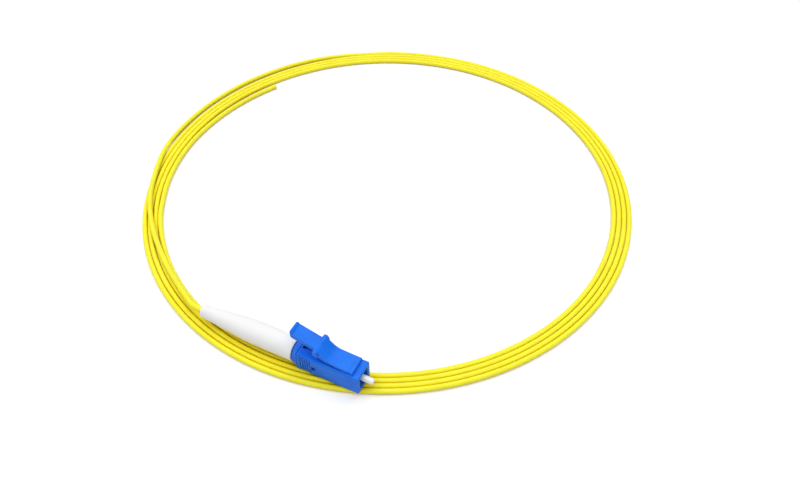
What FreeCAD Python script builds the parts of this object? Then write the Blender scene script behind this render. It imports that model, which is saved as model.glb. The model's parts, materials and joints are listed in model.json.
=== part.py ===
"""Fiber pigtail: a small form factor plug with a 1.25 mm ferrule on a coiled length of buffered fibre.

Frame, in millimetres: the origin is on the ferrule's axis, in the plane of the housing's front face.
+X points out of the front of the plug and +Z to the side of its latch lever. The coil lies flat below the
plug, which rests across it.
"""
import FreeCAD, Part
import math
import os

V = FreeCAD.Vector

# Clearances
running_gap = 0.05
seat_gap = 0.05
cord_gap = 0.05

# Fibre: the buffer's outside, and the bare glass in the ferrule
cord_diameter = 1.1
glass_diameter = 0.125
glass_gap = 0.001

# Housing: a square shell whose mouth shows the ferrule
body_width = 4.52
body_length = 12.6
body_corner_radius = 0.35
front_edge_radius = 0.12
mouth_width = 3.3
mouth_corner_radius = 0.3
mouth_depth = 2.2
bulkhead_thickness = 0.7
bulkhead_hole_radius = 1.28
cavity_radius = 1.55

# Finger grip at the housing's rear: corners turned off, and grooves across both sides
grip_length = 3.1
grip_blend = 0.4
grip_radius = 2.75
grip_blend_round = 0.3
grip_rear_round = 0.3
groove_count = 5
groove_pitch = 0.5
groove_width = 0.2
groove_depth = 0.13
groove_height = 3.6
groove_setback = 2.85

# Side windows for the rear body's tabs, and the relief slot in the top wall
window_setback = 3.8
window_length = 0.8
window_height = 1.0
window_drop = 0.2
top_slot_setback = 2.2
top_slot_length = 1.9
top_slot_width = 1.0

# Latch lever: side view as distances behind the front face and heights over the housing's top
hinge_distance = 2.2
nose_radius = 0.37
root_front = 1.15
root_slope = 0.12
root_round = 0.15
socket_share = 0.6
lever_width = 3.7
front_run = 4.01
front_rise = 0.13
ramp_slope = 0.93
ramp_round = 3.2
crest_round = 0.35
plate_width = 2.8
plate_thickness = 0.9
plate_slope = 0.275
plate_overhang = 1.5
plate_end_round = 0.25
plate_corner_radius = 0.5
lip_length = 0.75
lip_height = 0.45
lip_round = 0.12
lip_hollow_round = 0.3
lip_rear_round = 0.12
underside_slope = 0.15
underside_knee = 7.0
underside_knee_round = 1.5
underside_heel = 9.4
underside_heel_round = 0.8
shoulder_span = 4.44
shoulder_rear = 9.0
shoulder_crest = 8.25
shoulder_foot = 7.9
shoulder_top = 2.92
shoulder_bottom = 1.7
shoulder_foot_rise = 0.3
shoulder_chamfer = 0.15
shoulder_round = 0.15
web_height = 3.08

# Ferrule, its holder and the spring behind it
ferrule_diameter = 1.25
ferrule_stand_out = 2.0
ferrule_chamfer_length = 0.3
ferrule_chamfer_depth = 0.16
ferrule_held_length = 1.45
ferrule_held_taper = 0.025
ferrule_funnel_length = 0.7
ferrule_funnel_radius = 0.4
ferrule_travel = 0.9
flange_radius = 1.45
flange_length = 1.35
flange_chamfer = 0.12
flange_notch_count = 4
flange_notch_width = 0.5
flange_notch_depth = 0.3
stem_radius = 0.85
stem_length = 3.1
glue_gap = 0.01
spring_wire_diameter = 0.3
spring_mean_radius = 1.15
spring_turns = 5
wire_sides = 6

# Rear body: sleeve in the housing, snap tabs, collar and the barbed nipple for the boot
sleeve_length = 4.2
tab_width = 0.84
tab_length = 0.6
tab_reach = 0.45
collar_length = 1.25
collar_radius = 2.26
collar_chamfer = 0.15
rear_bore_radius = 0.9
nipple_radius = 1.25
nipple_length = 3.0
barb_count = 3
barb_depth = 0.15
barb_land = 0.4

# Boot: soft tapered strain relief
boot_gap = 0.15
boot_radius = 2.32
boot_length = 20.95
boot_chamfer = 0.12
boot_shoulder = 9.7
boot_shoulder_round = 56.0
boot_tail_radius = 1.27
boot_tail_chamfer = 0.1
socket_clearance = 0.2

# Coil: turns side by side, winding inwards clockwise as seen from above
ring_centre_x = -20.42
ring_centre_y = 49.52
ring_radius = 54.81
ring_start_angle = 121.05
strand_gap = 0.02
inner_strands = 4
outer_strands = 3
join_run = 3.0

# Route of the free cord, from the boot's tail over the coil to where it joins the outermost turn
lead_points = [
    (-36.6, 0.0, 0.0),
    (-38.2, 0.4, -0.3),
    (-40.2, 1.55, -0.95),
    (-44.5, 4.1, -1.55),
    (-48.3, 6.35, -1.69),
    (-51.8, 8.8, -1.71),
    (-55.3, 11.4, -1.7),
    (-58.6, 14.15, -1.69),
    (-61.75, 17.15, -1.69),
    (-64.65, 20.4, -1.7),
    (-67.35, 24.1, -1.71),
    (-69.65, 28.3, -1.7),
    (-71.85, 32.75, -1.71),
    (-73.75, 37.15, -1.89),
    (-75.15, 41.8, -2.36),
    (-75.9, 46.55, -2.74),
    (-76.1, 52.4, -2.84),
    (-75.45, 59.2, -2.85),
    (-73.65, 66.75, -2.85),
    (-70.75, 74.0, -2.85),
    (-66.85, 80.75, -2.85),
    (-62.25, 86.45, -2.85),
    (-57.95, 90.4, -2.85),
    (-54.05, 93.25, -2.86),
]

# Route of the cord's cut end, which drifts inwards from the coil's innermost turn
tail_points = [
    (-65.0, 25.6, -2.85),
    (-66.65, 28.9, -2.85),
    (-68.38, 33.45, -2.85),
    (-69.87, 38.98, -2.85),
    (-70.68, 45.25, -2.85),
    (-70.55, 52.1, -2.85),
    (-69.55, 58.6, -2.85),
    (-67.85, 64.45, -2.85),
    (-66.1, 68.85, -2.85),
    (-64.5, 71.95, -2.85),
]

# Places that follow from the sizes
body_half = body_width / 2
plate_end = body_length + plate_overhang
window_start = body_length - window_setback
cord_radius = cord_diameter / 2
floor_z = -(body_half + cord_gap + cord_diameter)
lying_z = floor_z + cord_radius
bulkhead_rear = mouth_depth + bulkhead_thickness
hinge = V(-hinge_distance, 0, body_half + running_gap + nose_radius)
ferrule_radius = ferrule_diameter / 2
flange_front = bulkhead_rear + seat_gap
flange_rear = flange_front + flange_length
ferrule_rear = flange_front + ferrule_held_length
stem_rear = flange_rear + stem_length
sleeve_front = body_length - sleeve_length
spring_front = flange_rear + seat_gap
spring_rear = sleeve_front - seat_gap
collar_front = body_length + seat_gap
collar_rear = collar_front + collar_length
nipple_rear = collar_rear + nipple_length
boot_front = collar_rear + boot_gap
boot_rear = boot_front + boot_length
inner_fibre_rear = nipple_rear - ferrule_travel
boot_bore_radius = cord_radius + running_gap
socket_depth = nipple_length + socket_clearance
strand_pitch = cord_diameter + strand_gap
ring_centre = V(ring_centre_x, ring_centre_y, 0)
volumes = {}


def line(start, end):
    return Part.LineSegment(start, end).toShape()


def arc(start, middle, end):
    return Part.Arc(start, middle, end).toShape()


def outline(corners, place):
    """Closed face from corners (u, v) or (u, v, radius), where a radius rounds its corner."""
    spots = [place(corner[0], corner[1]) for corner in corners]
    edges = []
    here = None
    first = None
    for index, corner in enumerate(corners):
        spot = spots[index]
        start = end = spot
        if len(corner) == 3:
            back = (spots[index - 1] - spot).normalize()
            ahead = (spots[(index + 1) % len(spots)] - spot).normalize()
            half_turn = (math.pi - back.getAngle(ahead)) / 2
            setback = corner[2] * math.tan(half_turn)
            start = spot + back * setback
            end = spot + ahead * setback
            inward = (back + ahead).normalize()
            middle = spot + inward * (corner[2] / math.cos(half_turn) - corner[2])
        if here is None:
            first = start
        else:
            edges.append(line(here, start))
        if len(corner) == 3:
            edges.append(arc(start, middle, end))
        here = end
    edges.append(line(here, first))
    return Part.Face(Part.Wire(edges))


def side_view(corners, width):
    """Solid with this outline in X and Z, centred on the plug's middle plane."""
    face = outline(corners, lambda x, z: V(x, -width / 2, z))
    return face.extrude(V(0, width, 0))


def plan_view(corners, bottom, top):
    """Solid with this outline in X and Y, between two heights."""
    face = outline(corners, lambda x, y: V(x, y, bottom))
    return face.extrude(V(0, 0, top - bottom))


def turned(corners):
    """Solid turned about the ferrule's axis from its half section in X and radius."""
    face = outline(corners, lambda x, r: V(x, 0, r))
    return face.revolve(V(0, 0, 0), V(1, 0, 0), 360)


def rod(radius, rear, front):
    return Part.makeCylinder(radius, front - rear, V(rear, 0, 0), V(1, 0, 0))


def block(x, y, z):
    """Box between the two limits along each axis."""
    return Part.makeBox(x[1] - x[0], y[1] - y[0], z[1] - z[0], V(x[0], y[0], z[0]))


def square_bar(width, corner_radius, rear, front):
    half = width / 2
    bar = block((rear, front), (-half, half), (-half, half))
    long_edges = [edge for edge in bar.Edges if abs(edge.tangentAt(edge.FirstParameter).x) > 0.9]
    return bar.makeFillet(corner_radius, long_edges)


def edges_in_plane(shape, x):
    return [edge for edge in shape.Edges if all(abs(vertex.X - x) < 1e-6 for vertex in edge.Vertexes)]


def front_housing():
    bar = square_bar(body_width, body_corner_radius, -body_length, 0)
    bar = bar.makeFillet(front_edge_radius, edges_in_plane(bar, 0))
    grip_start = body_length - grip_length
    grip_limit = turned([
        (body_width, 0),
        (body_width, body_width),
        (-grip_start, body_width),
        (-grip_start - grip_blend, grip_radius, grip_blend_round),
        (-body_length, grip_radius, grip_rear_round),
        (-body_length, 0),
    ])
    shell = bar.common(grip_limit)
    shell = shell.fuse(latch_root())
    mouth = square_bar(mouth_width, mouth_corner_radius, -mouth_depth, mouth_depth)
    hole = rod(bulkhead_hole_radius, -2 * bulkhead_rear, 0)
    cavity = rod(cavity_radius, -2 * body_length, -bulkhead_rear)
    cuts = [mouth, hole, cavity, side_windows(), top_slot()] + grip_grooves()
    return shell.cut(cuts)


def latch_root():
    """Block on the housing's top, hollowed at its rear round the lever's nose."""
    top = hinge.z + nose_radius
    socket_radius = nose_radius + running_gap
    foot = hinge.x + socket_radius * socket_share
    root = side_view([
        (foot, body_half - body_corner_radius),
        (-root_front, body_half - body_corner_radius),
        (-root_front, body_half),
        (-root_front - root_slope, top, root_round),
        (hinge.x, top),
        (hinge.x, hinge.z),
        (foot, hinge.z),
    ], lever_width)
    socket = Part.makeCylinder(socket_radius, 2 * lever_width, hinge - V(0, lever_width, 0), V(0, 1, 0))
    return root.cut(socket)


def side_windows():
    rear = -window_start - window_length
    half = window_height / 2
    return block((rear, -window_start), (-body_width, body_width), (-half - window_drop, half - window_drop))


def top_slot():
    half = top_slot_width / 2
    front = -body_length + top_slot_setback
    return block((front - top_slot_length, front), (-half, half), (0, body_width))


def grip_grooves():
    grooves = []
    half = groove_height / 2
    for side in (-1, 1):
        wall = sorted((side * (body_half - groove_depth), side * body_width))
        for index in range(groove_count):
            front = -body_length + groove_setback - index * groove_pitch
            grooves.append(block((front - groove_width, front), wall, (-half, half)))
    return grooves


def plate_top(x):
    """Height of the lever's sloping plate at this distance along the plug."""
    return body_half + web_height - plate_slope * (x + shoulder_rear)


def latch_lever():
    """Lever over the housing: flat front, ramp with two shoulders, and a sloping plate with a raised lip."""
    nose_top = hinge.z + nose_radius
    ramp_foot = V(hinge.x - front_run, 0, nose_top + front_rise)
    plate_drop = plate_thickness * math.sqrt(1 + plate_slope ** 2)
    crest_run = (plate_top(ramp_foot.x) - ramp_foot.z) / (ramp_slope - plate_slope)
    crest_x = ramp_foot.x - crest_run
    tangent = math.atan(underside_slope)
    under_start = (hinge.x - nose_radius * math.sin(tangent), hinge.z - nose_radius * math.cos(tangent))
    knee_z = under_start[1] + underside_slope * (under_start[0] + underside_knee)
    lip_front = -plate_end + lip_length
    profile = [
        (hinge.x, nose_top),
        (ramp_foot.x, ramp_foot.z, ramp_round),
        (crest_x, plate_top(crest_x), crest_round),
        (lip_front, plate_top(lip_front), lip_hollow_round),
        (lip_front - lip_height, plate_top(lip_front) + lip_height, lip_round),
        (-plate_end, plate_top(-plate_end) + lip_height / 2, lip_rear_round),
        (-plate_end, plate_top(-plate_end) - plate_drop, plate_end_round),
        (-underside_heel, plate_top(-underside_heel) - plate_drop, underside_heel_round),
        (-underside_knee, knee_z, underside_knee_round),
        under_start,
    ]
    half_plate = plate_width / 2
    plate_plan = plan_view([
        (0, -half_plate),
        (0, half_plate),
        (-plate_end, half_plate, plate_corner_radius),
        (-plate_end, -half_plate, plate_corner_radius),
    ], 0, 4 * body_width)
    web = side_view(profile, plate_width).common(plate_plan)
    crest_z = body_half + shoulder_top
    front = side_view(profile, lever_width).common(
        block((-shoulder_rear, 0), (-lever_width, lever_width), (0, crest_z)))
    foot_z = body_half + shoulder_bottom
    shoulders = side_view([
        (-shoulder_rear, foot_z + shoulder_chamfer),
        (-shoulder_rear, crest_z, shoulder_round),
        (-shoulder_crest, crest_z, shoulder_round),
        (-shoulder_foot, foot_z + shoulder_foot_rise, shoulder_round),
        (-shoulder_foot - shoulder_chamfer, foot_z),
    ], shoulder_span)
    nose = Part.makeCylinder(nose_radius, lever_width, hinge - V(0, lever_width / 2, 0), V(0, 1, 0))
    return web.multiFuse([front, shoulders, nose]).removeSplitter()


def rear_body():
    corners = [
        (-sleeve_front, rear_bore_radius),
        (-sleeve_front, cavity_radius - running_gap),
        (-collar_front, cavity_radius - running_gap),
        (-collar_front, collar_radius - collar_chamfer),
        (-collar_front - collar_chamfer, collar_radius),
        (-collar_rear + collar_chamfer, collar_radius),
        (-collar_rear, collar_radius - collar_chamfer),
        (-collar_rear, nipple_radius),
    ]
    barb_pitch = nipple_length / barb_count
    for index in range(barb_count):
        start = -collar_rear - index * barb_pitch
        corners.append((start - barb_land, nipple_radius))
        corners.append((start - barb_pitch, nipple_radius - barb_depth))
        if index < barb_count - 1:
            corners.append((start - barb_pitch, nipple_radius))
    corners.append((-nipple_rear, rear_bore_radius))
    tab_rear = -window_start - (window_length + tab_length) / 2
    tip = cavity_radius - running_gap + tab_reach
    root = cavity_radius - running_gap
    tabs = plan_view([
        (tab_rear, -tip),
        (tab_rear + tab_length * 0.5, -tip),
        (tab_rear + tab_length, -root),
        (tab_rear + tab_length, root),
        (tab_rear + tab_length * 0.5, tip),
        (tab_rear, tip),
    ], -tab_width / 2 - window_drop, tab_width / 2 - window_drop)
    bore = rod(rear_bore_radius, -nipple_rear, -sleeve_front)
    return turned(corners).fuse(tabs.cut(bore))


def boot():
    return turned([
        (-boot_front, nipple_radius + running_gap),
        (-boot_front, boot_radius - boot_chamfer),
        (-boot_front - boot_chamfer, boot_radius),
        (-boot_front - boot_shoulder, boot_radius, boot_shoulder_round),
        (-boot_rear + boot_tail_chamfer, boot_tail_radius),
        (-boot_rear, boot_tail_radius - boot_tail_chamfer),
        (-boot_rear, boot_bore_radius),
        (-boot_front - socket_depth, boot_bore_radius),
        (-boot_front - socket_depth, nipple_radius + running_gap),
    ])


def ferrule():
    bore = glass_diameter / 2 + glass_gap
    held_radius = ferrule_radius - ferrule_held_taper
    return turned([
        (ferrule_stand_out, bore),
        (ferrule_stand_out, ferrule_radius - ferrule_chamfer_depth),
        (ferrule_stand_out - ferrule_chamfer_length, ferrule_radius),
        (-flange_front, ferrule_radius),
        (-ferrule_rear, held_radius),
        (-ferrule_rear, ferrule_funnel_radius),
        (-ferrule_rear + ferrule_funnel_length, bore),
    ])


def ferrule_flange():
    held_radius = ferrule_radius - ferrule_held_taper
    bore = cord_radius + glue_gap
    body = turned([
        (-flange_front, ferrule_radius),
        (-flange_front, flange_radius - flange_chamfer),
        (-flange_front - flange_chamfer, flange_radius),
        (-flange_rear + flange_chamfer, flange_radius),
        (-flange_rear, flange_radius - flange_chamfer),
        (-flange_rear, stem_radius),
        (-stem_rear, stem_radius),
        (-stem_rear, bore),
        (-ferrule_rear, bore),
        (-ferrule_rear, held_radius),
    ])
    notches = []
    half = flange_notch_width / 2
    for index in range(flange_notch_count):
        notch = block((-2 * flange_rear, 0), (-half, half), (flange_radius - flange_notch_depth, 2 * flange_radius))
        notch.rotate(V(0, 0, 0), V(1, 0, 0), 45 + 360 * index / flange_notch_count)
        notches.append(notch)
    return body.cut(notches)


def ferrule_spring():
    """Wire wound about the stem, with few sides, its end turns ground flat on their seats."""
    length = spring_rear - spring_front
    helix = Part.makeHelix(length / spring_turns, length, spring_mean_radius)
    rim = []
    for index in range(wire_sides + 1):
        turn = 2 * math.pi * index / wire_sides
        spot = V(math.cos(turn), 0, math.sin(turn)) * (spring_wire_diameter / 2)
        rim.append(V(spring_mean_radius, 0, 0) + spot)
    coil = helix.makePipeShell([Part.makePolygon(rim)], True, True)
    coil.rotate(V(0, 0, 0), V(0, 1, 0), 90)
    coil.translate(V(-spring_rear, 0, 0))
    return coil.common(rod(2 * spring_mean_radius, -spring_rear, -spring_front)).Solids[0]


def fibre_in_plug():
    return rod(cord_radius, -inner_fibre_rear, -ferrule_rear - seat_gap)


def fibre_in_boot():
    return rod(cord_radius, -boot_rear, -nipple_rear - seat_gap)


def bare_fibre():
    return rod(glass_diameter / 2, -ferrule_rear - seat_gap, ferrule_stand_out)


def direction(degrees):
    return V(math.cos(math.radians(degrees)), math.sin(math.radians(degrees)), 0)


def quarter_places():
    """Centre, outermost radius and start angle of each quarter of a turn.

    Each centre lies a quarter of the pitch nearer to the quarter's start than the last one did, so the
    turns wind inwards by one pitch a turn with no kink where quarters meet.
    """
    step = strand_pitch / 4
    start = direction(ring_start_angle)
    ahead = direction(ring_start_angle - 90)
    centre = ring_centre + (start - ahead) * (step / 2)
    radius = ring_radius - step / 2
    places = []
    for index in range(4):
        angle = ring_start_angle - 90 * index
        places.append((centre, radius, angle))
        centre = centre + direction(angle - 90) * step
        radius = radius - step
    return places


def band_face(outer, strands):
    """Plain section round strands that lie side by side, its ends in a few flats."""
    inner = outer - (strands - 1) * strand_pitch
    corners = []
    for step in range(-2, 3):
        turn = math.radians(45 * step)
        corners.append((outer + cord_radius * math.cos(turn), cord_radius * math.sin(turn)))
    for step in range(2, 7):
        turn = math.radians(45 * step)
        corners.append((inner + cord_radius * math.cos(turn), cord_radius * math.sin(turn)))
    return outline(corners, lambda x, z: V(x, 0, z))


def cord_coil():
    """Coil: the innermost strand stops after three quarters of a turn, where the cut end leaves it."""
    quarters = []
    for index, (centre, radius, angle) in enumerate(quarter_places()):
        strands = inner_strands if index < 3 else outer_strands
        quarter = band_face(radius, strands).revolve(V(0, 0, 0), V(0, 0, 1), -90)
        quarter.rotate(V(0, 0, 0), V(0, 0, 1), angle)
        quarter.translate(centre + V(0, 0, lying_z))
        quarters.append(quarter)
    return quarters[0].multiFuse(quarters[1:]).removeSplitter().Solids[0]


def tube(name, points):
    """Cord along straight runs joined by tangent arcs, as large as the runs beside them allow."""
    edges = []
    radii = []
    here = points[0]
    for before, corner, after in zip(points, points[1:], points[2:]):
        back = before - corner
        ahead = after - corner
        setback = 0.45 * min(back.Length, ahead.Length)
        back.normalize()
        ahead.normalize()
        half_turn = (math.pi - back.getAngle(ahead)) / 2
        radius = setback / math.tan(half_turn)
        start = corner + back * setback
        end = corner + ahead * setback
        middle = corner + (back + ahead).normalize() * (radius / math.cos(half_turn) - radius)
        edges.append(line(here, start))
        edges.append(arc(start, middle, end))
        here = end
        radii.append(radius)
    edges.append(line(here, points[-1]))
    path = Part.Wire(edges)
    section = Part.Circle(points[0], points[1] - points[0], cord_radius)
    solid = path.makePipeShell([Part.Wire(section.toShape())], True, False)
    volumes[name] = math.pi * cord_radius ** 2 * path.Length
    print(name, "length %.1f mm, radii" % path.Length, " ".join("%.1f" % radius for radius in radii))
    return solid


def cord_lead():
    centre, radius, angle = quarter_places()[0]
    join = centre + direction(angle) * radius + V(0, 0, lying_z)
    before_join = join - direction(angle - 90) * join_run
    route = [V(-boot_rear, 0, 0)] + [V(*point) for point in lead_points] + [before_join, join]
    return tube("cord_lead", route)


def cord_tail():
    centre, radius, angle = quarter_places()[3]
    innermost = radius + strand_pitch / 4 - (inner_strands - 1) * strand_pitch
    centre = quarter_places()[2][0]
    start = centre + direction(angle) * innermost + V(0, 0, lying_z)
    return tube("cord_tail", [start] + [V(*point) for point in tail_points])


nodes = {
    "front_housing": front_housing,
    "latch_lever": latch_lever,
    "rear_body": rear_body,
    "ferrule": ferrule,
    "ferrule_flange": ferrule_flange,
    "ferrule_spring": ferrule_spring,
    "boot": boot,
    "bare_fibre": bare_fibre,
    "fibre_in_plug": fibre_in_plug,
    "fibre_in_boot": fibre_in_boot,
    "cord_lead": cord_lead,
    "cord_coil": cord_coil,
    "cord_tail": cord_tail,
}


def main():
    os.makedirs("parts", exist_ok=True)
    for name, make in nodes.items():
        shape = make()
        if shape.ShapeType == "Compound" and len(shape.Solids) == 1:
            shape = shape.Solids[0]
        shape.exportStep("parts/%s.step" % name)
        report = "%s: %s, valid %s, volume %.3f" % (name, shape.ShapeType, shape.isValid(), shape.Volume)
        if name in volumes:
            report += ", section times length %.3f" % volumes[name]
        print(report)


main()
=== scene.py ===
"""Fiber pigtail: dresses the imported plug, boot and fibre, lays the cord, and sets the studio round them."""

import bmesh
import bpy
import json
import math
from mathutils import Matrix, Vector

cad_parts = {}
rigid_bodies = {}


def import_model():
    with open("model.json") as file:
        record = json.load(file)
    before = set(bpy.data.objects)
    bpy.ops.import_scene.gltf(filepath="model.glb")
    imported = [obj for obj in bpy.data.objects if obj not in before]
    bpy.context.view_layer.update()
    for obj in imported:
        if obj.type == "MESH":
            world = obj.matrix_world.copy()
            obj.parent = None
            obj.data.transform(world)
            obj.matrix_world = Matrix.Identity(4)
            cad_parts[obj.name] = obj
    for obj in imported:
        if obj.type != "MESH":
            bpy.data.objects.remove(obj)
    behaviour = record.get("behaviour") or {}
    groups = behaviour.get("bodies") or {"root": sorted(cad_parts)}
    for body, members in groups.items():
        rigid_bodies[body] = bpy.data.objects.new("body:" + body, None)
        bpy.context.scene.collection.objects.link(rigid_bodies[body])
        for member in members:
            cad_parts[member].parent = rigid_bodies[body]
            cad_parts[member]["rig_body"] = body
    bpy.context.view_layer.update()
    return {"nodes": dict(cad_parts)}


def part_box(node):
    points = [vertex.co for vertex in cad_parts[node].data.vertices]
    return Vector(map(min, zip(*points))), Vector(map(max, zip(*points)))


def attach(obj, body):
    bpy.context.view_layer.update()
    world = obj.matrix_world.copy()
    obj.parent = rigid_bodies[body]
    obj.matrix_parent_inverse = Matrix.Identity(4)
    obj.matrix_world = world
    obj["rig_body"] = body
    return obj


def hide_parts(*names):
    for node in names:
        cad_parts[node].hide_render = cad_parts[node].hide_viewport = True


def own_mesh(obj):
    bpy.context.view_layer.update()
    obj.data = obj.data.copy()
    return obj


bl_info = {
    "name": "Fiber Pigtail",
    "version": (1, 0, 0),
    "blender": (4, 5, 0),
    "location": "View3D > Sidebar > Pigtail",
    "description": "Finishes and studio for a coiled fibre with a small latching plug",
    "category": "Object",
}

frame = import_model()

MM = 0.001

# The cord's route in millimetres, from the boot's tail to where it joins the outermost turn
LEAD_POINTS = [
    (-35.0, 0.0, 0.0),
    (-36.6, 0.0, 0.0),
    (-38.2, 0.4, -0.3),
    (-40.2, 1.55, -0.95),
    (-44.47, 4.03, -1.55),
    (-48.25, 6.23, -1.69),
    (-51.72, 8.59, -1.71),
    (-55.22, 11.19, -1.7),
    (-58.52, 13.94, -1.69),
    (-61.67, 16.94, -1.69),
    (-64.57, 20.19, -1.7),
    (-67.27, 23.89, -1.71),
    (-69.57, 28.09, -1.7),
    (-71.77, 32.54, -1.71),
    (-73.67, 36.94, -1.89),
    (-75.07, 41.59, -2.36),
    (-75.82, 46.34, -2.74),
    (-76.02, 52.19, -2.84),
    (-75.37, 58.99, -2.85),
    (-73.57, 66.54, -2.85),
    (-70.67, 73.79, -2.85),
    (-66.77, 80.54, -2.85),
    (-62.17, 86.24, -2.85),
    (-57.87, 90.19, -2.85),
    (-53.97, 93.04, -2.86),
    (-51.3, 94.64, -2.86),
]

# The cord's route from the innermost turn to its cut end
TAIL_POINTS = [
    (-64.92, 25.39, -2.85),
    (-66.57, 28.69, -2.85),
    (-68.3, 33.24, -2.85),
    (-69.79, 38.77, -2.85),
    (-70.6, 45.04, -2.85),
    (-70.47, 51.89, -2.85),
    (-69.47, 58.39, -2.85),
    (-67.77, 64.24, -2.85),
    (-66.02, 68.64, -2.85),
    (-64.42, 71.74, -2.85),
]

# The turns side by side: the outermost one's radius, the angle in degrees where it starts, and their count
RING_CENTRE = Vector((-20.34, 49.31, -2.86))
RING_RADIUS = 54.81
RING_START = 121.05
TURNS = 3.75

# Glass in the cut end, and the clear coating round it
GLASS_RADIUS = 0.0625
COATING_RADIUS = 0.125

# Housing's square outline with its rounded corners, and the spots where its form is finished
HOUSING_HALF = 2.26
HOUSING_CORNER = 0.35
GRIP_FRONT = -9.4
GRIP_INSIDE = 1.45
GRIP_OUTSIDE = 2.3
GROOVE_FLOOR = 2.13
MOUTH_REAR = -2.25
MOUTH_WALLS = (1.3, 1.67)
MOUTH_SHARE = 0.9

# Front ring of the rear body's collar
COLLAR_RING = (-13.2, -12.6)
COLLAR_INSIDE = 2.0

# Lever's top: a point and the slope of the ramp and of the thumb plate, and the soft crest where they meet
RAMP_SPOT = (-6.21, 3.18)
RAMP_SLOPE = 0.93
PLATE_SPOT = (-9.0, 5.34)
PLATE_SLOPE = 0.275
CREST_BLEND = 0.32
CREST_REACH = 0.34
CREST_HALF = 1.5
CREST_ENDS = (-9.45, -7.25)
CREST_CUTS_ALONG = (-7.3, -7.6, -7.9, -8.2, -8.5, -8.8, -9.1, -9.4)
CREST_CUTS_ACROSS = (-1.62, -1.46, 1.46, 1.62)

# Cone at the ferrule's tip, and how far the ferrule slides in
CONE_START = 1.6
CONE_ADDED = 0.25
CONE_END = 1.95
CONE_END_SHARE = 0.86

# Studio: metres for the lamp, millimetres for the camera and the floor, pixels for the picture
SKY_SPOT = (-0.08, 0.06, 0.85)
SKY_AIM = (-0.02, 0.04, 0)
SKY_SIZE = 1.5
FLOOR_LEVEL = -3.41
CAMERA_SPOT = (39.1, -65.2, 115.7)
CAMERA_AIM = (-9.2, 33.7, -3.41)
PICTURE_WIDTH = 800
PICTURE_SHIFT = (-0.35, 0.1)


class Wire:
    """A shader value that takes part in Python arithmetic, each operator adding a Math node."""

    def __init__(self, finish, socket):
        self.finish = finish
        self.socket = socket

    def math(self, operation, first, second=0.0):
        return self.finish.node("ShaderNodeMath", {"operation": operation}, {0: first, 1: second})

    def __add__(self, other):
        return self.math("ADD", self, other)

    def __radd__(self, other):
        return self.math("ADD", other, self)

    def __sub__(self, other):
        return self.math("SUBTRACT", self, other)

    def __rsub__(self, other):
        return self.math("SUBTRACT", other, self)

    def __mul__(self, other):
        return self.math("MULTIPLY", self, other)

    def __rmul__(self, other):
        return self.math("MULTIPLY", other, self)

    def __abs__(self):
        return self.math("ABSOLUTE", self)


class Finish:
    """A material, or the world, while its nodes are put together."""

    def __init__(self, name, surface=None, world=False):
        store = bpy.data.worlds if world else bpy.data.materials
        self.data = store.new(name)
        self.data.use_nodes = True
        self.tree = self.data.node_tree
        self.shader = self.tree.nodes["Background" if world else "Principled BSDF"]
        self.feed(self.shader, surface or {})

    def feed(self, node, inputs):
        """Puts values or links into a node's sockets."""
        for key, value in inputs.items():
            socket = node.inputs[key]
            if isinstance(value, Wire):
                self.tree.links.new(value.socket, socket)
            elif socket.type == "RGBA" and len(value) == 3:
                socket.default_value = (*value, 1)
            else:
                socket.default_value = value

    def node(self, kind, settings=None, inputs=None, output=0):
        """Adds one node: its settings first, then its sockets. Returns one of its outputs."""
        node = self.tree.nodes.new(kind)
        for key, value in (settings or {}).items():
            setattr(node, key, value)
        self.feed(node, inputs or {})
        return Wire(self, node.outputs[output])

    def place(self, scale=(1, 1, 1)):
        """Object coordinates, stretched by a Mapping node."""
        spot = self.node("ShaderNodeTexCoord", output="Object")
        return self.node("ShaderNodeMapping", {}, {"Vector": spot, "Scale": scale})

    def noise(self, size, detail=2.0, stretch=(1, 1, 1)):
        """Noise from 0 to 1 whose spots are about this many metres across."""
        inputs = {"Vector": self.place(stretch), "Scale": 1 / size, "Detail": detail}
        return self.node("ShaderNodeTexNoise", {}, inputs, "Fac")

    def between(self, low, high, amount):
        """A value that goes from low to high as amount goes from 0 to 1, held at both ends."""
        inputs = {"Value": amount, "From Min": low, "From Max": high}
        return self.node("ShaderNodeMapRange", {"clamp": True}, inputs)

    def blend(self, first, second, factor):
        """Mixes two colours."""
        return self.node("ShaderNodeMix", {"data_type": "RGBA"}, {0: factor, 6: first, 7: second}, 2)

    def soft_edges(self, radius):
        """Normal rounded over by this radius along edges, and how near an edge each point is."""
        rounded = self.node("ShaderNodeBevel", {"samples": 6}, {"Radius": radius})
        flat = self.node("ShaderNodeNewGeometry", output="Normal")
        dot = {"operation": "DOT_PRODUCT"}
        match = self.node("ShaderNodeVectorMath", dot, {0: rounded, 1: flat}, "Value")
        return rounded, self.between(0.0, 0.3, 1 - match)

    def shelter(self, reach):
        """How open a point is to its surroundings within this reach: 1 in the open, 0 deep in a gap."""
        return self.node("ShaderNodeAmbientOcclusion", {"samples": 8}, {"Distance": reach}, "AO")

    def bump(self, height, distance, strength=1.0, normal=None):
        """Normal of a surface raised by this height, 0 to 1, times this distance."""
        inputs = {"Height": height, "Distance": distance, "Strength": strength}
        if normal:
            inputs["Normal"] = normal
        return self.node("ShaderNodeBump", {}, inputs)

    def surface(self, inputs):
        """Feeds the surface shader and returns the finished material."""
        self.feed(self.shader, inputs)
        return self.data


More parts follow.
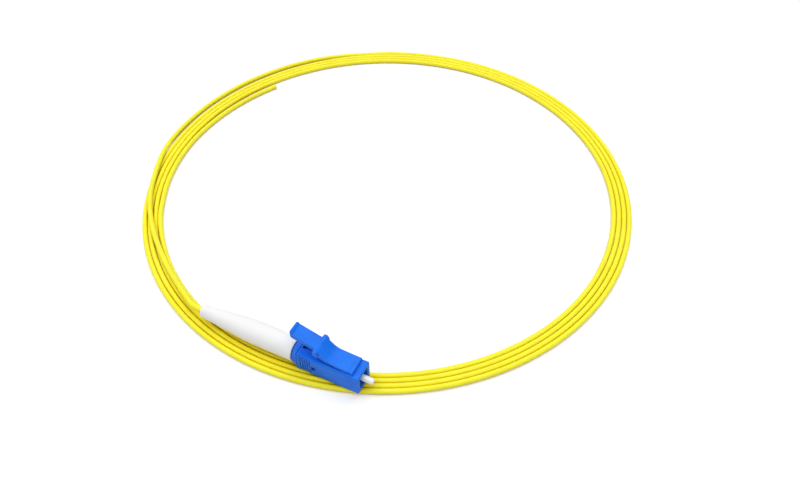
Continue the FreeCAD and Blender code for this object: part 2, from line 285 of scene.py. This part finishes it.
def moulded_blue(colour, grain, edge):
    """Glossy moulded plastic: faint flow marks, fine grain, pale edges, and painted shade that darkens it in
    its gaps and hollows.
    """
    finish = Finish("moulded_blue", {"IOR": 1.46, "Specular IOR Level": 0.15, "Coat Roughness": 0.2})
    rounded, rim = finish.soft_edges(edge)
    flow = finish.noise(1.6 * MM, 3, (0.35, 1, 1))
    # Darker tone of the faint flow marks
    flow_tone_and_painted_shadow = tuple(0.86 * part for part in colour)
    tint = finish.blend(flow_tone_and_painted_shadow, colour, finish.between(0.3, 0.6, flow))
    pale = tuple(part + 0.12 * (1 - part) for part in colour)
    tint = finish.blend(tint, pale, 0.5 * rim)
    # Painted shade: dark navy blended in where the surface is sheltered within 2 mm, in the mouth, grooves
    # and gaps
    painted_shade = (0.006, 0.05, 0.22)
    tint = finish.blend(painted_shade, tint, finish.between(0.08, 0.46, finish.shelter(2.0 * MM)))
    texture = finish.noise(0.07 * MM, 4)
    pits = finish.noise(0.4 * MM, 2)
    return finish.surface({
        "Base Color": tint,
        "Roughness": 0.34 + 0.14 * pits - 0.08 * rim,
        "Coat Weight": 0.04 + 0.08 * flow,
        "Normal": finish.bump(texture, grain, 0.6, rounded),
    })


def boot_white(colour, grain):
    """Soft satin plastic: fine grain, slight clouding, the mould's parting line, and painted shade in the gap
    at the collar.
    """
    finish = Finish("boot_white", {"IOR": 1.48, "Specular IOR Level": 0.35})
    cloud = finish.noise(2.2 * MM, 3)
    tint = finish.blend(tuple(0.965 * part for part in colour), colour, cloud)
    # Painted shade: dark navy where the boot is sheltered within 0.5 mm, as in the gap at the collar
    painted_gap_shade = (0.02, 0.04, 0.12)
    tint = finish.blend(painted_gap_shade, tint, finish.between(0.2, 0.42, finish.shelter(0.5 * MM)))
    spot = finish.node("ShaderNodeTexCoord", output="Object")
    height = finish.node("ShaderNodeSeparateXYZ", {}, {0: spot}, "Z")
    parting = 1 - finish.between(0.0, 0.03 * MM, abs(height))
    texture = finish.noise(0.09 * MM, 4)
    return finish.surface({
        "Base Color": tint,
        "Roughness": 0.42 + 0.16 * finish.noise(0.5 * MM, 2),
        "Normal": finish.bump(texture + 0.8 * parting, grain, 0.7),
    })


def polished_ceramic():
    """White fired ceramic, ground round and polished: glossy, with faint grinding rings."""
    finish = Finish("polished_ceramic", {"IOR": 1.6, "Coat Roughness": 0.05})
    rounded, rim = finish.soft_edges(0.03 * MM)
    rings = finish.noise(0.05 * MM, 2, (1, 0.05, 0.05))
    tint = finish.blend((0.86, 0.855, 0.84), (0.93, 0.93, 0.92), finish.noise(0.6 * MM, 3))
    return finish.surface({
        "Base Color": tint,
        "Roughness": 0.16 + 0.08 * rings,
        "Coat Weight": 0.35 + 0.1 * rim,
        "Normal": finish.bump(rings, 0.0004 * MM, 0.5, rounded),
    })


def plated_metal(name, colour, rough, stretch):
    """Plated metal with the fine tool marks of turning or drawing."""
    finish = Finish(name, {"Metallic": 1.0})
    rounded, rim = finish.soft_edges(0.03 * MM)
    marks = finish.noise(0.04 * MM, 3, stretch)
    dull = finish.noise(0.5 * MM, 3)
    tint = finish.blend(tuple(0.8 * part for part in colour), colour, 0.4 + 0.6 * dull)
    return finish.surface({
        "Base Color": tint,
        "Roughness": rough + 0.12 * marks - 0.05 * rim,
        "Normal": finish.bump(marks, 0.0012 * MM, 0.6, rounded),
    })


def clear_glass():
    """The glass of the fibre: clear, with a faint cool tint."""
    glass = {"Base Color": (0.92, 0.96, 1.0), "IOR": 1.46, "Transmission Weight": 0.85}
    finish = Finish("clear_glass", glass)
    return finish.surface({"Roughness": 0.03 + 0.05 * finish.noise(0.05 * MM, 2)})


def fibre_coating():
    """The thin clear coating round the glass, seen on the cut end."""
    finish = Finish("fibre_coating", {"IOR": 1.5, "Transmission Weight": 0.3})
    tint = finish.blend((0.8, 0.78, 0.7), (0.92, 0.9, 0.84), finish.noise(0.05 * MM, 2))
    return finish.surface({"Base Color": tint, "Roughness": 0.25 + 0.1 * finish.noise(0.03 * MM, 2)})


def buffer_yellow(colour):
    """Satin tight buffer: faint clouding, painted warm shade where it is sheltered, painted shade between
    turns, painted shadow where it lies deepest in shelter, and the waviness of extrusion.
    """
    finish = Finish("buffer_yellow", {"IOR": 1.48, "Specular IOR Level": 0.2})
    cloud = finish.noise(4.0 * MM, 3)
    warm = (colour[0] * 0.97, colour[1] * 0.93, colour[2] * 0.8)
    tint = finish.blend(warm, colour, finish.between(0.25, 0.6, cloud))
    # Painted shade: amber, with less green, where the cord is sheltered within 6 mm, as under the plug
    painted_shade_amber = (colour[0], colour[1] * 0.76, 0.0)
    tint = finish.blend(painted_shade_amber, tint, finish.between(0.3, 0.78, finish.shelter(6.0 * MM)))
    # Painted shade: darker yellow in the crevices between turns, where the cord is sheltered within 0.8 mm
    painted_shade = (colour[0] * 0.8, colour[1] * 0.7, 0.0)
    tint = finish.blend(painted_shade, tint, finish.between(0.15, 0.75, finish.shelter(0.8 * MM)))
    # Painted shadow: near-black yellow where the cord is deep in shelter within 3 mm, as under the boot and
    # plug
    flow_tone_and_painted_shadow = (colour[0] * 0.2, colour[1] * 0.14, 0.0)
    tint = finish.blend(flow_tone_and_painted_shadow, tint, finish.between(0.05, 0.24, finish.shelter(3.0 * MM)))
    wave = finish.noise(1.1 * MM, 2)
    fine = finish.noise(0.12 * MM, 3)
    return finish.surface({
        "Base Color": tint,
        "Roughness": 0.4 + 0.12 * finish.noise(0.8 * MM, 2),
        "Normal": finish.bump(wave + 0.25 * fine, 0.003 * MM, 0.5),
    })


def clean_copy(node, name, material, form=None, sharp=30):
    """Copy of a CAD node in its place, with merged corners, its form finished and curved faces smooth."""
    source = frame["nodes"][node]
    mesh = source.data.copy()
    shape = bmesh.new()
    shape.from_mesh(mesh)
    bmesh.ops.remove_doubles(shape, verts=shape.verts, dist=0.0005 * MM)
    bmesh.ops.dissolve_limit(shape, angle_limit=math.radians(0.3), verts=shape.verts, edges=shape.edges)
    if form:
        form(shape)
    bmesh.ops.recalc_face_normals(shape, faces=shape.faces)
    shape.to_mesh(mesh)
    shape.free()
    if "custom_normal" in mesh.attributes:
        mesh.attributes.remove(mesh.attributes["custom_normal"])
    mesh.shade_smooth()
    mesh.set_sharp_from_angle(angle=math.radians(sharp))
    mesh.materials.clear()
    mesh.materials.append(material)
    mesh.name = name
    piece = bpy.data.objects.new(name, mesh)
    bpy.context.collection.objects.link(piece)
    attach(piece, source["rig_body"])
    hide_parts(node)
    return piece


def dress(node, material):
    """Gives a CAD node that keeps its own shape a better material."""
    mesh = frame["nodes"][node].data
    mesh.materials.clear()
    mesh.materials.append(material)


class PlugSettings(bpy.types.PropertyGroup):
    blue: bpy.props.FloatVectorProperty(
        name="Plastic colour", description="Colour of the housing, the lever and the rear body",
        subtype="COLOR", size=3, min=0, max=1, default=(0.008, 0.19, 0.93))
    grain: bpy.props.FloatProperty(
        name="Grain depth", description="Depth of the moulded grain",
        subtype="DISTANCE", unit="LENGTH", min=0, default=0.0015 * MM)
    edge: bpy.props.FloatProperty(
        name="Edge radius", description="How far the edges look rounded over",
        subtype="DISTANCE", unit="LENGTH", min=0, default=0.12 * MM)


class FerruleSettings(bpy.types.PropertyGroup):
    spring_turns: bpy.props.FloatProperty(
        name="Spring turns", description="Turns of the spring behind the flange", min=1, default=5)
    wire: bpy.props.FloatProperty(
        name="Spring wire", description="Diameter of the spring's wire",
        subtype="DISTANCE", unit="LENGTH", min=0, default=0.3 * MM)
    plating: bpy.props.FloatVectorProperty(
        name="Plating colour", description="Colour of the flange's plating",
        subtype="COLOR", size=3, min=0, max=1, default=(0.75, 0.74, 0.7))


class BootSettings(bpy.types.PropertyGroup):
    white: bpy.props.FloatVectorProperty(
        name="Boot colour", description="Colour of the soft strain relief",
        subtype="COLOR", size=3, min=0, max=1, default=(0.93, 0.93, 0.93))
    grain: bpy.props.FloatProperty(
        name="Grain depth", description="Depth of the boot's satin grain",
        subtype="DISTANCE", unit="LENGTH", min=0, default=0.002 * MM)


class CordSettings(bpy.types.PropertyGroup):
    diameter: bpy.props.FloatProperty(
        name="Cord diameter", description="Outside diameter of the buffered fibre",
        subtype="DISTANCE", unit="LENGTH", min=0.0001, default=1.1 * MM)
    pitch: bpy.props.FloatProperty(
        name="Turn pitch", description="Distance between the centres of turns side by side",
        subtype="DISTANCE", unit="LENGTH", min=0.0001, default=1.12 * MM)
    yellow: bpy.props.FloatVectorProperty(
        name="Buffer colour", description="Colour of the fibre's buffer",
        subtype="COLOR", size=3, min=0, max=1, default=(0.99, 0.95, 0.045))


class StageSettings(bpy.types.PropertyGroup):
    floor_reach: bpy.props.FloatProperty(
        name="Floor reach", description="Half the side of the floor",
        subtype="DISTANCE", unit="LENGTH", min=0.1, default=3.0)
    ambient: bpy.props.FloatProperty(
        name="Ambient light", description="Strength of the white room's light", min=0, default=0.25)
    key_power: bpy.props.FloatProperty(
        name="Key light", description="Power of the large soft lamp overhead",
        subtype="POWER", unit="POWER", min=0, default=10.1)
    lift: bpy.props.FloatProperty(
        name="Floor lift", description="Light that the camera alone sees on the floor, for a white ground",
        min=0, default=0.19)
    lens: bpy.props.FloatProperty(
        name="Lens", description="Focal length, in millimetres",
        subtype="DISTANCE_CAMERA", min=1, default=34.28)


class PIGTAIL_OT_stage(bpy.types.Operator):
    """Lay the floor and set the world, the lamps and the camera"""

    bl_idname = "pigtail.stage"
    bl_label = "Set the Stage"

    def execute(self, context):
        settings = context.scene.pigtail_stage
        self.floor(context, settings)
        self.world(context, settings)
        self.lamp(context, "sky_lamp", SKY_SPOT, SKY_SIZE, settings.key_power)
        self.camera(context, settings)
        context.scene.view_settings.view_transform = "Standard"
        return {"FINISHED"}

    def floor(self, context, settings):
        white = {"Base Color": (0.9, 0.9, 0.9), "Roughness": 0.9, "Specular IOR Level": 0.0}
        finish = Finish("white_floor", white)
        seen = finish.node("ShaderNodeLightPath", output="Is Camera Ray")
        finish.surface({"Emission Color": (1, 1, 1), "Emission Strength": settings.lift * seen})
        reach = settings.floor_reach
        sides = [(-reach, -reach), (reach, -reach), (reach, reach), (-reach, reach)]
        corners = [(*side, FLOOR_LEVEL * MM) for side in sides]
        mesh = bpy.data.meshes.new("studio_floor")
        mesh.from_pydata(corners, [], [(0, 1, 2, 3)])
        mesh.materials.append(finish.data)
        floor = bpy.data.objects.new("studio_floor", mesh)
        context.collection.objects.link(floor)

    def world(self, context, settings):
        finish = Finish("white_room", {"Color": (1, 1, 1)}, world=True)
        camera = finish.node("ShaderNodeLightPath", output="Is Camera Ray")
        glossy = finish.node("ShaderNodeLightPath", output="Is Glossy Ray")
        clear = finish.node("ShaderNodeLightPath", output="Is Transmission Ray")
        seen = camera.math("MAXIMUM", camera.math("MAXIMUM", camera, glossy), clear)
        finish.surface({"Strength": settings.ambient + (1 - settings.ambient) * seen})
        context.scene.world = finish.data

    def lamp(self, context, name, spot, size, power):
        data = bpy.data.lights.new(name, "AREA")
        data.shape = "DISK"
        data.size = size
        data.energy = power
        lamp = bpy.data.objects.new(name, data)
        lamp.location = spot
        aim = Vector(SKY_AIM) - Vector(spot)
        lamp.rotation_euler = aim.to_track_quat("-Z", "Y").to_euler()
        context.collection.objects.link(lamp)

    def camera(self, context, settings):
        data = bpy.data.cameras.new("camera")
        data.lens = settings.lens
        data.sensor_width = 36
        data.sensor_fit = "HORIZONTAL"
        data.shift_x = PICTURE_SHIFT[0] / PICTURE_WIDTH
        data.shift_y = PICTURE_SHIFT[1] / PICTURE_WIDTH
        data.clip_start = 0.001
        data.clip_end = 20
        camera = bpy.data.objects.new("camera", data)
        camera.location = Vector(CAMERA_SPOT) * MM
        aim = Vector(CAMERA_AIM) * MM - camera.location
        camera.rotation_euler = aim.to_track_quat("-Z", "Y").to_euler()
        context.collection.objects.link(camera)
        context.scene.camera = camera


class PIGTAIL_OT_plug(bpy.types.Operator):
    """Dress the housing, the latch lever and the rear body"""

    bl_idname = "pigtail.plug"
    bl_label = "Dress the Plug"

    def execute(self, context):
        settings = context.scene.pigtail_plug
        blue = moulded_blue(tuple(settings.blue), settings.grain, settings.edge)
        clean_copy("front_housing", "housing_shell", blue, self.housing_form)
        clean_copy("latch_lever", "lever_arm", blue, self.lever_form)
        clean_copy("rear_body", "rear_collar", blue, self.collar_form)
        return {"FINISHED"}

    def square_reach(self, spot):
        """Distance from the plug's axis to the housing's outline, in the direction of this point."""
        half = HOUSING_HALF * MM
        corner = HOUSING_CORNER * MM
        turn = math.atan2(abs(spot.z), abs(spot.y))
        if turn > math.pi / 4:
            turn = math.pi / 2 - turn
        flat = half / math.cos(turn)
        if flat * math.sin(turn) <= half - corner:
            return flat
        middle = (half - corner) * math.sqrt(2)
        aside = middle * math.sin(math.pi / 4 - turn)
        return middle * math.cos(math.pi / 4 - turn) + math.sqrt(corner ** 2 - aside ** 2)

    def housing_form(self, shape):
        """Carries the housing's corners on to its rear end, and narrows its mouth a little."""
        for vertex in shape.verts:
            spot = vertex.co
            across = abs(spot.y)
            upwards = abs(spot.z)
            on_groove = abs(across - GROOVE_FLOOR * MM) < 0.01 * MM
            on_corner = min(across, upwards) > GRIP_INSIDE * MM and upwards < GRIP_OUTSIDE * MM
            if spot.x < GRIP_FRONT * MM and on_corner and not on_groove:
                share = self.square_reach(spot) / math.hypot(spot.y, spot.z)
                spot.y *= share
                spot.z *= share
            near, far = MOUTH_WALLS
            if spot.x > MOUTH_REAR * MM and near * MM < max(across, upwards) < far * MM:
                spot.y *= MOUTH_SHARE
                spot.z *= MOUTH_SHARE

    def collar_form(self, shape):
        """Makes the collar's front end square as the housing is, so that it tapers to the boot's round."""
        rear, front = COLLAR_RING
        for vertex in shape.verts:
            spot = vertex.co
            out = math.hypot(spot.y, spot.z)
            if rear * MM < spot.x < front * MM and out > COLLAR_INSIDE * MM:
                share = self.square_reach(spot) / (HOUSING_HALF * MM)
                spot.y *= share
                spot.z *= share

    def lever_form(self, shape):
        """Rounds the lever's crest between its two shoulders, which then stand out at the sides."""
        for across in CREST_CUTS_ACROSS:
            self.slice(shape, (0, across * MM, 0), (0, 1, 0))
        for along in CREST_CUTS_ALONG:
            self.slice(shape, (along * MM, 0, 0), (1, 0, 0))
        rear, front = CREST_ENDS
        for vertex in shape.verts:
            spot = vertex.co
            if abs(spot.y) > CREST_HALF * MM or not rear * MM < spot.x < front * MM:
                continue
            ramp = RAMP_SPOT[1] * MM + RAMP_SLOPE * (RAMP_SPOT[0] * MM - spot.x)
            plate = PLATE_SPOT[1] * MM + PLATE_SLOPE * (PLATE_SPOT[0] * MM - spot.x)
            gap = ramp - plate
            top = (ramp + plate - math.sqrt(gap ** 2 + (CREST_BLEND * MM) ** 2)) / 2
            if abs(spot.z - top) < CREST_REACH * MM:
                spot.z = top

    def slice(self, shape, spot, normal):
        """Cuts all faces along a plane, so that there are vertices to move."""
        parts = list(shape.verts) + list(shape.edges) + list(shape.faces)
        bmesh.ops.bisect_plane(shape, geom=parts, dist=0.001 * MM, plane_co=spot, plane_no=normal)


class PIGTAIL_OT_ferrule(bpy.types.Operator):
    """Dress the ferrule and its flange, and wind the spring"""

    bl_idname = "pigtail.ferrule"
    bl_label = "Dress the Ferrule"

    def execute(self, context):
        settings = context.scene.pigtail_ferrule
        plating = plated_metal("nickel_plating", tuple(settings.plating), 0.26, (1, 0.06, 0.06))
        clean_copy("ferrule", "ferrule_pin", polished_ceramic(), self.tip_form)
        clean_copy("ferrule_flange", "flange_holder", plating)
        glass = clear_glass()
        dress("bare_fibre", glass)
        self.spring(context, settings)
        return {"FINISHED"}

    def tip_form(self, shape):
        """Lengthens the cone at the ferrule's tip."""
        for vertex in shape.verts:
            spot = vertex.co
            out = math.hypot(spot.y, spot.z)
            if spot.x > CONE_START * MM and out > 0.6 * MM:
                spot.x -= CONE_ADDED * MM
            if spot.x > CONE_END * MM and out > 0.3 * MM:
                spot.y *= CONE_END_SHARE
                spot.z *= CONE_END_SHARE

    def spring(self, context, settings):
        """Winds round wire between the flange and the rear body, by a rule in Geometry Nodes."""
        wire_steel = plated_metal("spring_steel", (0.62, 0.62, 0.64), 0.3, (0.3, 1, 1))
        rear, front = (end.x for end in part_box("ferrule_spring"))
        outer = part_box("ferrule_spring")[1].y
        tree = bpy.data.node_groups.new("spring_winding", "GeometryNodeTree")
        sizes = {
            "Turns": settings.spring_turns,
            "Radius": outer - settings.wire / 2,
            "Length": front - rear - settings.wire,
            "Wire Radius": settings.wire / 2,
            "Rear": rear + settings.wire / 2,
        }
        tree.interface.new_socket("Geometry", in_out="OUTPUT", socket_type="NodeSocketGeometry")
        sockets = {}
        for label in sizes:
            sockets[label] = tree.interface.new_socket(label, in_out="INPUT", socket_type="NodeSocketFloat")
        nodes = tree.nodes
        source = nodes.new("NodeGroupInput").outputs
        winding = nodes.new("GeometryNodeCurveSpiral")
        winding.inputs["Resolution"].default_value = 36
        section = nodes.new("GeometryNodeCurvePrimitiveCircle")
        section.inputs["Resolution"].default_value = 14
        sweep = nodes.new("GeometryNodeCurveToMesh")
        sweep.inputs["Fill Caps"].default_value = True
        turn = nodes.new("GeometryNodeTransform")
        turn.inputs["Rotation"].default_value = (0, math.pi / 2, 0)
        offset = nodes.new("ShaderNodeCombineXYZ")
        real = nodes.new("GeometryNodeRealizeInstances")
        paint = nodes.new("GeometryNodeSetMaterial")
        paint.inputs["Material"].default_value = wire_steel
        result = nodes.new("NodeGroupOutput")
        for start, end in [
            (source["Turns"], winding.inputs["Rotations"]),
            (source["Radius"], winding.inputs["Start Radius"]),
            (source["Radius"], winding.inputs["End Radius"]),
            (source["Length"], winding.inputs["Height"]),
            (source["Wire Radius"], section.inputs["Radius"]),
            (winding.outputs["Curve"], sweep.inputs["Curve"]),
            (section.outputs["Curve"], sweep.inputs["Profile Curve"]),
            (source["Rear"], offset.inputs["X"]),
            (offset.outputs[0], turn.inputs["Translation"]),
            (sweep.outputs["Mesh"], turn.inputs["Geometry"]),
            (turn.outputs["Geometry"], real.inputs["Geometry"]),
            (real.outputs["Geometry"], paint.inputs["Geometry"]),
            (paint.outputs["Geometry"], result.inputs["Geometry"]),
        ]:
            tree.links.new(start, end)
        holder = bpy.data.objects.new("spring_holder", bpy.data.meshes.new("spring_holder"))
        modifier = holder.modifiers.new("winding", "NODES")
        modifier.node_group = tree
        for label, value in sizes.items():
            modifier[sockets[label].identifier] = value
        context.collection.objects.link(holder)
        context.view_layer.update()
        mesh = bpy.data.meshes.new_from_object(holder.evaluated_get(context.evaluated_depsgraph_get()))
        bpy.data.objects.remove(holder)
        mesh.shade_smooth()
        mesh.set_sharp_from_angle(angle=math.radians(40))
        piece = bpy.data.objects.new("spring_wire_turns", mesh)
        context.collection.objects.link(piece)
        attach(piece, "plug")
        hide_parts("ferrule_spring")
        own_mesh(piece)


class PIGTAIL_OT_boot(bpy.types.Operator):
    """Dress the boot"""

    bl_idname = "pigtail.boot"
    bl_label = "Dress the Boot"

    def execute(self, context):
        settings = context.scene.pigtail_boot
        clean_copy("boot", "boot_sleeve", boot_white(tuple(settings.white), settings.grain))
        return {"FINISHED"}


class PIGTAIL_OT_cord(bpy.types.Operator):
    """Lay the buffered fibre from the boot round the coil to its cut end"""

    bl_idname = "pigtail.cord"
    bl_label = "Lay the Cord"

    def execute(self, context):
        settings = context.scene.pigtail_cord
        yellow = buffer_yellow(tuple(settings.yellow))
        dress("fibre_in_plug", yellow)
        dress("fibre_in_boot", yellow)
        route = [Vector(point) * MM for point in LEAD_POINTS]
        route += self.turns(settings)
        route += [Vector(point) * MM for point in TAIL_POINTS]
        curve = bpy.data.curves.new("buffered_fibre", "CURVE")
        curve.dimensions = "3D"
        spline = curve.splines.new("NURBS")
        spline.points.add(len(route) - 1)
        for point, spot in zip(spline.points, route):
            point.co = (*spot, 1)
        spline.order_u = 3
        spline.use_endpoint_u = True
        spline.resolution_u = 8
        curve.bevel_depth = settings.diameter / 2
        curve.bevel_resolution = 5
        curve.use_fill_caps = True
        curve.materials.append(yellow)
        cord = bpy.data.objects.new("buffered_fibre", curve)
        context.collection.objects.link(cord)
        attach(cord, "plug")
        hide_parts("cord_lead", "cord_coil", "cord_tail")
        end = self.cut_end(context, settings, route[-1], (route[-1] - route[-2]).normalized(), yellow)
        return {"FINISHED"}

    def turns(self, settings):
        """Route points of the turns side by side, winding inwards by one pitch a turn."""
        points = []
        step = 15
        outwards = 1 / math.cos(math.radians(step / 2))
        for index in range(int(TURNS * 360 / step)):
            swept = (index + 0.5) * step
            radius = (RING_RADIUS * MM - settings.pitch * swept / 360) * outwards
            angle = math.radians(RING_START - swept)
            points.append(RING_CENTRE * MM + Vector((math.cos(angle), math.sin(angle), 0)) * radius)
        return points

    def cut_end(self, context, settings, spot, ahead, yellow):
        """The cut face: buffer wall, clear coating and the glass in the middle."""
        # Radius, distance past the cord's end, and material of each loop from the outside in
        rings = [
            (0.5 * settings.diameter, -0.05 * MM, 0),
            (0.5 * settings.diameter, 0.01 * MM, 0),
            (0.48 * settings.diameter, 0.025 * MM, 0),
            (0.14 * MM, 0.02 * MM, 0),
            (COATING_RADIUS * MM, 0.015 * MM, 1),
            (0.065 * MM, 0.02 * MM, 1),
            (GLASS_RADIUS * MM, 0.05 * MM, 2),
        ]
        side = ahead.cross(Vector((0, 0, 1))).normalized()
        up = side.cross(ahead)
        sides = 28
        shape = bmesh.new()
        loops = []
        for radius, depth, _ in rings:
            loop = []
            for index in range(sides):
                angle = 2 * math.pi * index / sides
                offset = (side * math.cos(angle) + up * math.sin(angle)) * radius
                loop.append(shape.verts.new(spot + ahead * depth + offset))
            loops.append(loop)
        for (inner, outer), (_, _, paint) in zip(zip(loops[1:], loops), rings[1:]):
            for index in range(sides):
                after = (index + 1) % sides
                face = shape.faces.new((outer[index], outer[after], inner[after], inner[index]))
                face.material_index = paint
        tip = shape.faces.new(loops[-1])
        tip.material_index = 2
        shape.faces.new(loops[0][::-1])
        bmesh.ops.recalc_face_normals(shape, faces=shape.faces)
        mesh = bpy.data.meshes.new("cut_face")
        shape.to_mesh(mesh)
        shape.free()
        for material in (yellow, fibre_coating(), clear_glass()):
            mesh.materials.append(material)
        mesh.shade_smooth()
        mesh.set_sharp_from_angle(angle=math.radians(30))
        piece = bpy.data.objects.new("cut_face", mesh)
        context.collection.objects.link(piece)
        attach(piece, "plug")
        return piece


class PIGTAIL_PT_sidebar(bpy.types.Panel):
    """Lists the pigtail's steps and sizes in the 3D view's sidebar"""

    bl_idname = "PIGTAIL_PT_sidebar"
    bl_label = "Fiber Pigtail"
    bl_space_type = "VIEW_3D"
    bl_region_type = "UI"
    bl_category = "Pigtail"

    def draw(self, context):
        layout = self.layout
        for operator, group in STEPS:
            column = layout.box().column()
            column.operator(operator)
            settings = getattr(context.scene, group)
            for key in settings.__annotations__:
                column.prop(settings, key)


STEPS = [
    ("pigtail.stage", "pigtail_stage"),
    ("pigtail.plug", "pigtail_plug"),
    ("pigtail.ferrule", "pigtail_ferrule"),
    ("pigtail.boot", "pigtail_boot"),
    ("pigtail.cord", "pigtail_cord"),
]

GROUPS = {
    "pigtail_stage": StageSettings,
    "pigtail_plug": PlugSettings,
    "pigtail_ferrule": FerruleSettings,
    "pigtail_boot": BootSettings,
    "pigtail_cord": CordSettings,
}

CLASSES = list(GROUPS.values()) + [
    PIGTAIL_OT_stage,
    PIGTAIL_OT_plug,
    PIGTAIL_OT_ferrule,
    PIGTAIL_OT_boot,
    PIGTAIL_OT_cord,
    PIGTAIL_PT_sidebar,
]


def register():
    for item in CLASSES:
        bpy.utils.register_class(item)
    for name, group in GROUPS.items():
        setattr(bpy.types.Scene, name, bpy.props.PointerProperty(type=group))


def unregister():
    for name in GROUPS:
        delattr(bpy.types.Scene, name)
    for item in reversed(CLASSES):
        bpy.utils.unregister_class(item)


def main():
    register()
    bpy.ops.pigtail.stage()
    bpy.ops.pigtail.plug()
    bpy.ops.pigtail.ferrule()
    bpy.ops.pigtail.boot()
    bpy.ops.pigtail.cord()
    bpy.context.view_layer.update()


if __name__ == "__main__":
    main()
